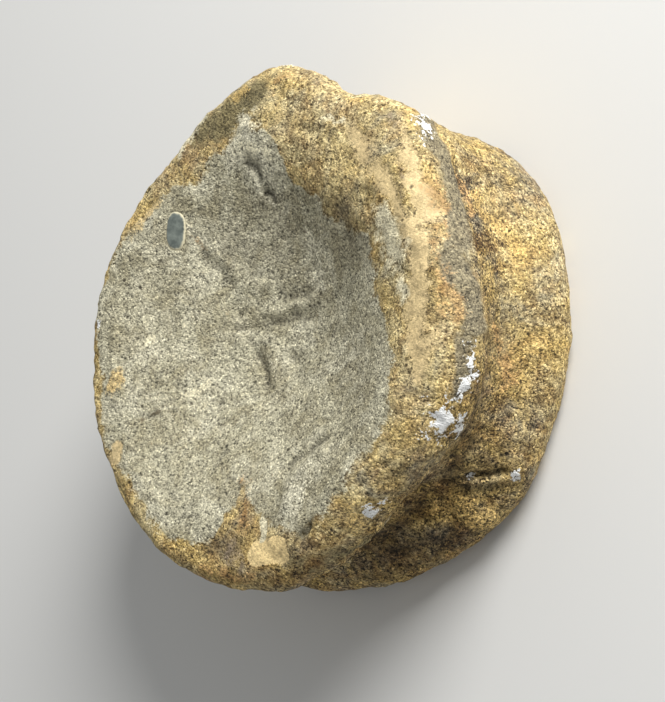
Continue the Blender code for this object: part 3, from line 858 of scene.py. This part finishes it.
# %% [markdown]
# The blue-grey lens
#
# On the left of the dish a smooth blue-grey lens of mineral shows, about four and a half by nine
# millimetres, with a thin pale line round it. It is a piece of its own, because its outline is crisp and
# its face glossy. It is a low dome over an oval, tipped to the slope of the dish, and it reaches a little
# way into the stone.

# %% Set in the lens
LENS_MIDDLE = (-34.5, 16.1)
LENS_TOP = (-34.9, 20.3)
LENS_HALF = (2.25, 4.45)
LENS_DOME = 0.45
LENS_SUNK = 0.9
LENS_CELLS = 24
LENS_BLUNT = 2.6
LENS_EDGE_DROP = 0.15
LENS_DOME_FALL = 0.96
LENS_FOOT_RISE = 0.3
SLOPE_REACH = 0.006
ABOVE_BACK_DISH = 0.02


def slope_at(points, middle, reach):
    """The plane z = a x + b y + c that fits the points within reach of a place in plan, in metres."""
    away = np.hypot(points[:, 0] - middle[0], points[:, 1] - middle[1])
    near = points[(away < reach) & (points[:, 2] > ABOVE_BACK_DISH)]
    sides = np.column_stack([near[:, :2], np.ones(len(near))])
    return np.linalg.lstsq(sides, near[:, 2], rcond=None)[0]


def blunt_oval(share, angle, half, blunt):
    """Shares of the way out to an edge where |u|^blunt + |v|^blunt is 1, times the oval's halves."""
    reach = (np.abs(np.cos(angle)) ** blunt + np.abs(np.sin(angle)) ** blunt) ** (-1.0 / blunt)
    return half[0] * share * reach * np.cos(angle), half[1] * share * reach * np.sin(angle)


tilt = slope_at(FORM, np.array(LENS_MIDDLE) * MM, SLOPE_REACH)
lens_share, lens_angle = disc_grid(LENS_CELLS)
long_way = (np.array(LENS_TOP) - LENS_MIDDLE) / np.hypot(*(np.array(LENS_TOP) - LENS_MIDDLE))
across, along = blunt_oval(lens_share, lens_angle, np.array(LENS_HALF) * MM, LENS_BLUNT)
short_way = np.array([long_way[1], -long_way[0]])
lens_plan = np.array(LENS_MIDDLE) * MM + across[:, None] * short_way + along[:, None] * long_way
lens_level = lens_plan @ tilt[:2] + tilt[2]
dome = LENS_DOME * MM * np.sqrt(1.0 - LENS_DOME_FALL * lens_share**4)
lens_top = np.column_stack([lens_plan, lens_level - LENS_EDGE_DROP * MM + dome])
lens_foot = np.column_stack([lens_plan, lens_level - LENS_SUNK * MM * (1.0 - LENS_FOOT_RISE * lens_share**2)])
lens_index = np.arange(len(lens_share)).reshape(LENS_CELLS + 1, LENS_CELLS + 1)
lens_rim = grid_edge(LENS_CELLS)
lens_rings = np.array([lens_rim, lens_rim + len(lens_share)])
lens_faces = np.concatenate(
    [
        grid_quads(lens_index),
        grid_quads(lens_index + len(lens_share))[:, ::-1],
        grid_quads(np.concatenate([lens_rings, lens_rings[:, :1]], axis=1)),
    ]
)
blue_lens = mesh_of("mineral_lens", np.concatenate([lens_top, lens_foot]), lens_faces)
store = blue_lens.data.attributes.new("outness", "FLOAT", "POINT")
store.data.foreach_set("value", np.tile(lens_share, 2).astype(np.float32))
blue_lens.data.shade_smooth()
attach(blue_lens, "root")
print("lens slope", round(math.degrees(math.atan(math.hypot(*tilt[:2]))), 1), "degrees")

# %% [markdown]
# The rough stone would poke through so low a dome. Under the lens, the skin is pressed down to a flat seat
# of the same slope, a little below the dome's edge.

# %% Sink the lens's seat
SEAT_SHARE = 1.1
SEAT_FADE = 0.3
SEAT_DEPTH = 0.45
offset = FORM[:, :2] / MM - LENS_MIDDLE
u = (offset @ short_way) / LENS_HALF[0]
v = (offset @ long_way) / LENS_HALF[1]
oval = (np.abs(u) ** LENS_BLUNT + np.abs(v) ** LENS_BLUNT) ** (1.0 / LENS_BLUNT)
seat = ON_FRONT * ease((SEAT_SHARE - oval) / SEAT_FADE)
level = FORM[:, :2] @ tilt[:2] + tilt[2] - SEAT_DEPTH * MM
FORM[:, 2] += seat * np.minimum(level - FORM[:, 2], 0.0)
skin.data.vertices.foreach_set("co", FORM.ravel())
skin.data.update()
print("seat", int((seat > 0.5).sum()), "points")

# %% [markdown]
# The numbers go into the mesh
#
# Besides the finishes, two numbers say how brown the bone is, and how much painted shade lies in the
# hollows. Brown comes from the right flank's low part, the groove under the front rim, the low edges of that
# rim, and slow noise elsewhere; on the flanks, and most on the low right flank, it is also painted shade. The
# shade in the hollows is found by asking how far each point lies below its smoothed neighbourhood, which is
# where shade falls on a real bone.

# %% Measure brown and the painted shade in hollows
GROOVE = [(38.0, 37.5, 30.5), (46.8, 25.8, 30.0), (50.4, 15.9, 28.6), (50.6, 6.0, 26.5), (51.0, -3.0, 27.0)]
RIGHT_RIM = [(49.2, -12.0, 42.0), (49.5, -17.0, 41.0), (45.0, -26.0, 42.0)]
LOW_GROOVE = [
    (52.0, -3.0, 30.0),
    (50.0, -12.0, 27.0),
    (44.5, -22.0, 27.0),
    (38.0, -31.0, 27.0),
    (30.0, -40.0, 27.0),
]
LOW_FLANK = [(36.9, -31.0, 17.5), (37.4, -39.8, 10.9), (28.7, -41.7, 17.4)]
RUSTY_FOOT = [(-8.0, -53.0, 43.5), (4.0, -51.0, 43.5), (9.0, -46.0, 42.5)]
BROWN_PATHS = [(GROOVE, 4.2, 3.5), (LOW_GROOVE, 8.0, 6.0), (LOW_FLANK, 8.0, 6.0), (RIGHT_RIM, 0.4, 5.0)]
RUSTY_PATHS = [(RUSTY_FOOT, 4.0, 5.0)]
LOW_RIGHT = (-46, 56.0)
LOW_RIGHT_FROM = 44.0
LOW_RIGHT_FADE = 6.0
BOTTOM_RIM = (-66, 50.0)
BOTTOM_RIM_FROM = 49.0
BOTTOM_RIM_FADE = 4.0
SIDE_RUN = 0.064
SIDE_BACK_RUN = 0.052
SIDE_FADE = 0.006
BROWN_BASE = 0.26
BROWN_SLOW = 0.26
BROWN_AND_SHADE_SIDE = 0.31
BROWN_AND_SHADE_LOW_RIGHT = 0.55
BROWN_GROOVE = 0.85
BROWN_LOW_RIM = 0.4
SMOOTHING_ROUNDS = 14
HOLLOW_DEPTH = 0.5
SLOW_SIZE = 0.016


def smoothed(values, rounds):
    """Each point's value averaged with its neighbours along the skin's edges, some times over."""
    edges = np.empty(2 * len(skin.data.edges), dtype=np.int32)
    skin.data.edges.foreach_get("vertices", edges)
    one, other = edges.reshape(-1, 2).T
    count = np.bincount(edges, minlength=len(values))
    for _ in range(rounds):
        summed = np.bincount(one, values[other], len(values)) + np.bincount(other, values[one], len(values))
        values = (values + summed / count) / 2.0
    return values


SKIN_NORMALS = normals_of(skin.data)
# Painted shade: points below their smoothed neighbourhood get a number for the dark colour of hollows.
around = np.stack([smoothed(FORM[:, k], SMOOTHING_ROUNDS) for k in range(3)], axis=1)
hollowness = ((around - FORM) * SKIN_NORMALS).sum(axis=1) / MM
zones["hollow_shade"] = np.maximum(zones["hollow_shade"], ease(hollowness / HOLLOW_DEPTH - 0.1))
slow = layered_noise(FORM, SLOW_SIZE, 61)
low_right = near_angle(ROUND, *LOW_RIGHT) * ease((FROM_AXIS - LOW_RIGHT_FROM) / LOW_RIGHT_FADE)
groove = marked(FORM, RAGGED, BROWN_PATHS)
bottom_rim = near_angle(ROUND, *BOTTOM_RIM) * ease((FROM_AXIS - BOTTOM_RIM_FROM) / BOTTOM_RIM_FADE)
on_side = ease((RUN - SIDE_RUN) / SIDE_FADE) * ease((PROFILE_RUN[-1] - SIDE_BACK_RUN - RUN) / SIDE_FADE)
rusty_foot = marked(FORM, RAGGED, RUSTY_PATHS)
# Partly painted shade: the flanks, and most the low right flank, are browned where they lie in shade.
brown_and_shade = BROWN_BASE + BROWN_SLOW * slow + BROWN_AND_SHADE_SIDE * on_side
brown_and_shade = brown_and_shade + BROWN_AND_SHADE_LOW_RIGHT * low_right * on_side + BROWN_GROOVE * groove
brown_and_shade += BROWN_LOW_RIM * np.maximum(bottom_rim, rusty_foot)
zones["brown_and_shade"] = np.clip(brown_and_shade, 0.0, 1.0)
print("brown_and_shade", round(float(zones["brown_and_shade"].mean()), 2), "hollow_shade", round(float(zones["hollow_shade"].mean()), 2))

# %% [markdown]
# A material can't see a numpy array. It reads named numbers that are stored in the mesh, one for each
# point, and the same numbers are there for whoever opens the model later.

# %% Store the numbers
for finish, amount in zones.items():
    store = skin.data.attributes.new(finish, "FLOAT", "POINT")
    store.data.foreach_set("value", np.clip(amount, 0.0, 1.0).astype(np.float32))
print(len(zones), "numbers at each of", len(FORM), "points")

# %% [markdown]
# The map for baking
#
# When the model leaves Blender, its materials are baked into pictures, and each face needs its place there.
# An automatic unwrap would cut this skin into hundreds of scraps. The grid gives three plain charts
# instead: the front, the back, and the band, which is folded into two rows because it is seven times as
# long as it is high.

# %% Lay the skin out flat
CHART_GAP = 0.012


def square_chart(index_of_cells, left, low, side):
    """Places of a face's grid cells in a square of the map: row and column as shares of its side."""
    row, column = np.divmod(index_of_cells, FACE_CELLS + 1)
    return np.stack([left + side * row / FACE_CELLS, low + side * column / FACE_CELLS], axis=-1)


side = 0.5 - 2 * CHART_GAP
front_places = square_chart(front_quads, CHART_GAP, 0.5 + CHART_GAP, side)
back_places = square_chart(back_quads - face_count, 0.5 + CHART_GAP, 0.5 + CHART_GAP, side)
band_row, band_column = np.indices(closed_rings.shape)
row_of, column_of = grid_quads(band_row), grid_quads(band_column)
half_way = len(edge) // 2
second = (column_of.min(axis=1, keepdims=True) >= half_way).astype(int)
row_height = 0.25 - 2 * CHART_GAP
band_u = CHART_GAP + (1 - 2 * CHART_GAP) * (column_of - second * half_way) / half_way
band_v = 0.25 * (1 - second) + CHART_GAP + row_height * (1 - row_of / BAND_CELLS)
flat_map = skin.data.uv_layers.new(name="OFBake")
flat = np.concatenate([front_places, back_places, np.stack([band_u, band_v], axis=-1)])
flat_map.data.foreach_set("uv", flat.astype(np.float32).ravel())
print("map from", flat.min(axis=(0, 1)).round(2), "to", flat.max(axis=(0, 1)).round(2))

# %% [markdown]
# Sums with sockets
#
# A material is a net of nodes, and a sum on values takes one Math node per sign. Written out, that is long
# and hard to check. A small class wraps an output socket, so that a plus or a times between two wires adds
# the node by itself. Every other kind of node comes from one method, which takes its settings and its
# inputs.

# %% Make the wire class


class Wire:
    """An output socket in a material. Arithmetic on wires adds Math nodes."""

    def __init__(self, tree, socket):
        self.tree, self.socket = tree, socket

    def node(self, kind, settings, inputs, output=0):
        """Adds a node: first its settings, then a value or a wire at each input."""
        made = self.tree.nodes.new(kind)
        for name, value in settings.items():
            setattr(made, name, value)
        for key, value in inputs.items():
            if isinstance(value, Wire):
                self.tree.links.new(value.socket, made.inputs[key])
            else:
                made.inputs[key].default_value = value
        return Wire(self.tree, made.outputs[output])

    def math(self, operation, *values):
        """A Math node on values or wires."""
        return self.node("ShaderNodeMath", {"operation": operation}, dict(enumerate(values)))

    def __add__(self, other):
        return self.math("ADD", self, other)

    __radd__ = __add__

    def __sub__(self, other):
        return self.math("SUBTRACT", self, other)

    def __rsub__(self, other):
        return self.math("SUBTRACT", other, self)

    def __mul__(self, other):
        return self.math("MULTIPLY", self, other)

    __rmul__ = __mul__

    def clipped(self):
        """The value kept between 0 and 1."""
        return self.node("ShaderNodeClamp", {}, {0: self})

    def over(self, under, share):
        """This colour laid over another by a share."""
        return self.node("ShaderNodeMix", {"data_type": "RGBA"}, {0: share, 6: under, 7: self}, 2)

    def scaled(self, amount):
        """This vector or colour times a number."""
        return self.node("ShaderNodeVectorMath", {"operation": "SCALE"}, {0: self, 3: amount})

    def feeds(self, socket):
        """Links this wire to a shader's socket."""
        self.tree.links.new(self.socket, socket)


def seen(red, green, blue):
    """A linear colour from the 0 to 255 numbers that a screen shows, by the sRGB curve."""
    parts = np.array([red, green, blue]) / 255.0
    linear = np.where(parts <= 0.04045, parts / 12.92, ((parts + 0.055) / 1.055) ** 2.4)
    return (*linear.tolist(), 1.0)


def new_material(name):
    """A material, its shader, and a wire that gives places in object coordinates."""
    made = bpy.data.materials.new(name)
    made.use_nodes = True
    tree = made.node_tree
    object_place = tree.nodes.new("ShaderNodeTexCoord").outputs["Object"]
    return made, tree.nodes["Principled BSDF"], Wire(tree, object_place)


print("stone grey in linear numbers", np.round(seen(180, 174, 148)[:3], 3))

# %% [markdown]
# The bone and the stone
#
# Close up, the whole fossil is a salt and pepper of grains a third to two thirds of a millimetre across.
# The base is bone that runs from dark brown over ochre to a sandy yellow. Over it go the other finishes,
# each where its number, shaken by noise, is above one half, so that borders are grainy and never drawn
# lines. The grains lighten and darken everything, and they also give the bump.

# %% Name the colours
BONE_BROWN = seen(86, 64, 36)
BONE_OCHRE = seen(166, 144, 98)
BONE_SAND = seen(214, 196, 146)
BONE_YELLOW = seen(206, 176, 104)
BONE_ORANGE = seen(160, 116, 64)
BONE_GREY = seen(150, 144, 122)
STONE_GREY = seen(180, 174, 148)
STONE_LIGHT = seen(206, 200, 175)
STONE_OLIVE = seen(140, 131, 102)
BUFF = seen(216, 192, 142)
CREAM = seen(246, 218, 158)
RICH_OCHRE = seen(204, 172, 106)
# Painted shade: the dark colour laid over the stone's shaded hollows.
PAINTED_SHADE = seen(112, 104, 82)
# Dark brown, which is also painted shade on the low right flank, under the rim and in the groove.
UMBER_AND_SHADE = seen(58, 42, 24)
SLATE = seen(126, 118, 97)
RUST = seen(168, 130, 82)
PLUM = seen(120, 106, 90)
OLIVE = seen(120, 110, 78)
PALE = seen(224, 215, 182)
CRUST = seen(246, 246, 243)
# Painted shade in pits, creases and hollows.
HOLLOW_SHADE = seen(38, 31, 20)
GRAIN_SCALE = 1500.0
CRYSTAL_SCALE = 2700.0
MOTTLE_SCALE = 420.0
STREAK_SCALE = 620.0
STREAK_STRETCH = (1, 1, 0.16)
PIT_SCALE = 330.0
PATCH_SCALE = 700.0
BUMP_HEIGHT = 0.0003
print("one crystal is about", round(1000 / CRYSTAL_SCALE, 2), "mm across")

# %% [markdown]
# One noise of two thirds of a millimetre gives the grains, and one of two and a half gives the mottles. The
# crystals come from a cell pattern, where each cell has its own chance value, because noise alone looks
# blurred.

# %% Mix the bone's and the stone's colours
fossil, shader, place = new_material("fossil_bone")


def noise(scale, detail=3.0, seed=0, roughness=0.6, twist=0.0, where=None):
    """A noise texture about one half, its scale in waves per metre. The seed moves it to another place."""
    step = (0.37 * seed, 0.21 * seed, -0.13 * seed)
    moved = place.node("ShaderNodeVectorMath", {"operation": "ADD"}, {0: where or place, 1: step})
    inputs = {"Vector": moved, "Scale": scale, "Detail": detail, "Roughness": roughness, "Distortion": twist}
    return place.node("ShaderNodeTexNoise", {}, inputs)


def patches(size, seed, level, sharp=7.0):
    """Ragged patches some millimetres in size, where a twisted noise is over the level."""
    return (sharp * (noise(PATCH_SCALE / size, 4.0, seed, 0.65, 0.9) - level) + 0.5).clipped()


def number(finish):
    """The number that the mesh stores for a finish."""
    return place.node("ShaderNodeAttribute", {"attribute_name": finish}, {}, "Fac")


def colour(value):
    """A wire that carries one colour."""
    made = place.tree.nodes.new("ShaderNodeRGB")
    made.outputs[0].default_value = value
    return Wire(place.tree, made.outputs[0])


crystals = {"Vector": place, "Scale": CRYSTAL_SCALE}
crystal_colour = place.node("ShaderNodeTexVoronoi", {"feature": "F1"}, crystals, "Color")
crystal = place.node("ShaderNodeSeparateColor", {}, {0: crystal_colour})
crystal_dome = 1.0 - place.node("ShaderNodeTexVoronoi", {"feature": "F1"}, crystals, "Distance")
grain = noise(GRAIN_SCALE, 2.0, 1, 0.7)
mottle = noise(MOTTLE_SCALE, 4.0, 2, 0.65, 0.6)
long_place = place.node("ShaderNodeVectorMath", {"operation": "MULTIPLY"}, {0: place, 1: STREAK_STRETCH})
streaks = noise(STREAK_SCALE, 3.0, 3, 0.6, 0.0, long_place)


def crisp(finish, shake=1.0, sharp=3.0):
    """The finish's share: its number shaken by mottles, grains and crystals, steepened about one half."""
    shaken = number(finish) + shake * (mottle - 0.5) + 0.6 * shake * (grain - 0.5) + 0.12 * (crystal - 0.5)
    return (sharp * (shaken - 0.5) + 0.5).clipped()


ochreness = 1.14 - 1.1 * number("brown_and_shade") + 1.8 * (mottle - 0.5) + 0.9 * (streaks - 0.5)
ochreness = (ochreness + 0.8 * (grain - 0.5) + 0.35 * (crystal - 0.5)).clipped()
bone = colour(BONE_OCHRE).over(colour(BONE_BROWN), (2.0 * ochreness).clipped())
bone = colour(BONE_SAND).over(bone, (2.0 * ochreness - 1.0).clipped())
for shade, size, seed, level, cover in [
    (BONE_GREY, 11.0, 4, 0.52, 0.7),
    (BONE_YELLOW, 8.0, 5, 0.51, 0.6),
    (BONE_ORANGE, 5.0, 6, 0.58, 0.38),
    (BONE_BROWN, 2.4, 7, 0.60, 0.6),
]:
    bone = colour(shade).over(bone, cover * patches(size, seed, level, 4.5))
stone_colour = colour(STONE_LIGHT).over(colour(STONE_GREY), 0.6 * patches(7.0, 8, 0.54, 5.0))
stone_colour = colour(STONE_OLIVE).over(stone_colour, 0.65 * patches(6.0, 9, 0.53, 5.0))
tone = colour(OLIVE).over(bone, 0.9 * crisp("olive"))
tone = stone_colour.over(tone, crisp("stone", 1.0, 5.0))
# Painted shade over the stone's hollows.
tone = colour(PAINTED_SHADE).over(tone, 0.6 * number("painted_shade"))
# Of these, light is painted light, umber is partly painted shade, and pale holds some painted light.
for finish, shade, cover, shake in [
    ("umber_and_shade", UMBER_AND_SHADE, 0.7, 1.6),
    ("light", STONE_LIGHT, 0.9, 1.0),
    ("slate", SLATE, 0.85, 1.0),
    ("ochre", RICH_OCHRE, 0.65, 1.0),
    ("buff", BUFF, 0.9, 0.8),
    ("rust", RUST, 0.65, 1.4),
    ("cream", CREAM, 0.95, 0.4),
    ("pale", PALE, 0.9, 0.8),
    ("plum", PLUM, 0.75, 1.2),
]:
    tone = colour(shade).over(tone, cover * crisp(finish, shake))
print("colours so far", len(fossil.node_tree.nodes), "nodes")

# %% [markdown]
# So far the colours are flat. The grains and crystals now lighten and darken them, with a few bright and
# dark specks. Buff and cream places are smoother. Pits and hollows get painted shade, a dark colour, and
# white crust lies on top.

# %% Add grains, painted shade in pits and hollows, and crust
speckle = (0.5 + 3.0 * (grain - 0.5)).clipped()
bright = (12.0 * (crystal - 0.92)).clipped()
dark = (10.0 * (0.1 - crystal)).clipped()
smooth_places = (crisp("buff") + crisp("cream") + 0.5 * crisp("pale")).clipped()
brown_and_shade_squared = number("brown_and_shade") * number("brown_and_shade")
contrast = (1.0 - 0.62 * smooth_places) * (1.16 + 0.84 * brown_and_shade_squared * brown_and_shade_squared)
lightness = 0.75 * (crystal - 0.5) + 0.7 * (speckle - 0.5) + 0.7 * (mottle - 0.5) + 0.5 * bright - 0.2 * dark
lightness = lightness + (0.5 + 1.5 * number("umber_and_shade")) * (streaks - 0.5)
lightness = 1.0 + contrast * lightness
tone = tone.scaled(lightness.math("MAXIMUM", lightness, 0.15))
pit_cells = {"Vector": place, "Scale": PIT_SCALE}
cell = place.node("ShaderNodeTexVoronoi", {"feature": "F1"}, pit_cells, "Distance")
pits = (1.0 - 8.0 * (cell + 0.25 * (1.0 - patches(9.0, 10, 0.48)) - 0.07)).clipped()
# Painted shade: the dark colour in the marked creases and hollows and in the pits.
tone = colour(HOLLOW_SHADE).over(tone, (0.6 * number("hollow_shade") + 0.8 * pits).clipped())
near_crust = (8.0 * number("crust")).clipped()
tone = colour(CRUST).over(tone, near_crust * crisp("crust", 2.2, 7.0))
tone.feeds(shader.inputs["Base Color"])
print("colours with grains", len(fossil.node_tree.nodes), "nodes")

# %% [markdown]
# The bone is matt all over, and a little less so where it is smooth. The bump repeats the mottles, the
# grains, the crystals and the pits, so that the light finds the same texture that the colour shows.

# %% Give it roughness and bump
roughness = 0.86 - 0.2 * smooth_places + 0.1 * (speckle - 0.5)
roughness.feeds(shader.inputs["Roughness"])
shader.inputs["Specular IOR Level"].default_value = 0.35
relief = contrast * (0.3 * speckle + 0.35 * crystal_dome + 1.5 * mottle) - 0.6 * pits
bump_inputs = {"Strength": 1.0, "Distance": BUMP_HEIGHT, "Height": relief}
bump = place.node("ShaderNodeBump", {}, bump_inputs, "Normal")
bump.feeds(shader.inputs["Normal"])
skin.data.materials.append(fossil)
print("bone material", len(fossil.node_tree.nodes), "nodes")

# %% [markdown]
# The lens's finish
#
# The lens is a translucent mineral, but so dark that only its surface shows. A blue-grey with faint clouds,
# a low roughness and a slight bump give its wet look without any glass, which would be slow to render.

# %% Finish the lens
LENS_DARK = seen(78, 86, 82)
LENS_LIGHT = seen(136, 143, 134)
mineral, lens_shader, place = new_material("mineral_lens")
veil = (0.5 + 2.4 * (noise(450.0, 4.0) - 0.5)).clipped()
border = (9.0 * (number("outness") + 0.2 * (noise(900.0) - 0.5) - 0.86)).clipped()
lens_tone = colour(LENS_LIGHT).over(colour(LENS_DARK), veil)
colour(PALE).over(lens_tone, border).feeds(lens_shader.inputs["Base Color"])
(0.3 + 0.2 * veil + 0.4 * border).feeds(lens_shader.inputs["Roughness"])
lens_relief = {"Strength": 0.4, "Distance": 0.0002, "Height": noise(900.0)}
lens_bump = place.node("ShaderNodeBump", {}, lens_relief, "Normal")
lens_bump.feeds(lens_shader.inputs["Normal"])
blue_lens.data.materials.append(mineral)
print("lens material", len(mineral.node_tree.nodes), "nodes")

# %% [markdown]
# The floor and the light
#
# A museum photographs a fossil on a plain pale sheet. One large soft lamp stands low at the head of the
# bone and a little to its right, because that light rakes over the dish and shows its folds. The world's
# even light fills the shadows, so that the underside of the rim still reads.

# %% Lay the floor and hang the lamp
FLOOR_HALF = 2.0
LAMP_WAY = Vector((0.36, 0.80, 0.48))
LAMP_DISTANCE = 0.9
LAMP_SIZE = 0.5
LAMP_POWER = 11.4
WORLD_LIGHT = 0.33
corners = FLOOR_HALF * np.array([[-1, -1, 0], [1, -1, 0], [1, 1, 0], [-1, 1, 0]])
floor = mesh_of("floor", corners, np.array([[0, 1, 2, 3]]))
sheet, sheet_shader, place = new_material("pale_floor")
sheet_shader.inputs["Base Color"].default_value = seen(226, 225, 221)
sheet_shader.inputs["Roughness"].default_value = 0.9
floor.data.materials.append(sheet)
lamp = bpy.data.lights.new("soft_lamp", "AREA")
lamp.shape = "DISK"
lamp.size = LAMP_SIZE
lamp.energy = LAMP_POWER
hung = bpy.data.objects.new("soft_lamp", lamp)
bpy.context.scene.collection.objects.link(hung)
hung.location = BONE_MIDDLE + LAMP_WAY.normalized() * LAMP_DISTANCE
hung.rotation_euler = LAMP_WAY.to_track_quat("Z", "Y").to_euler()
world = bpy.data.worlds.new("even_light")
world.use_nodes = True
world.node_tree.nodes["Background"].inputs["Color"].default_value = (0.96, 0.98, 1.0, 1.0)
world.node_tree.nodes["Background"].inputs["Strength"].default_value = WORLD_LIGHT
bpy.context.scene.world = world
bpy.context.scene.view_settings.view_transform = "Standard"
print("lamp", round(math.degrees(math.asin(LAMP_WAY.normalized().z))), "degrees above the floor")
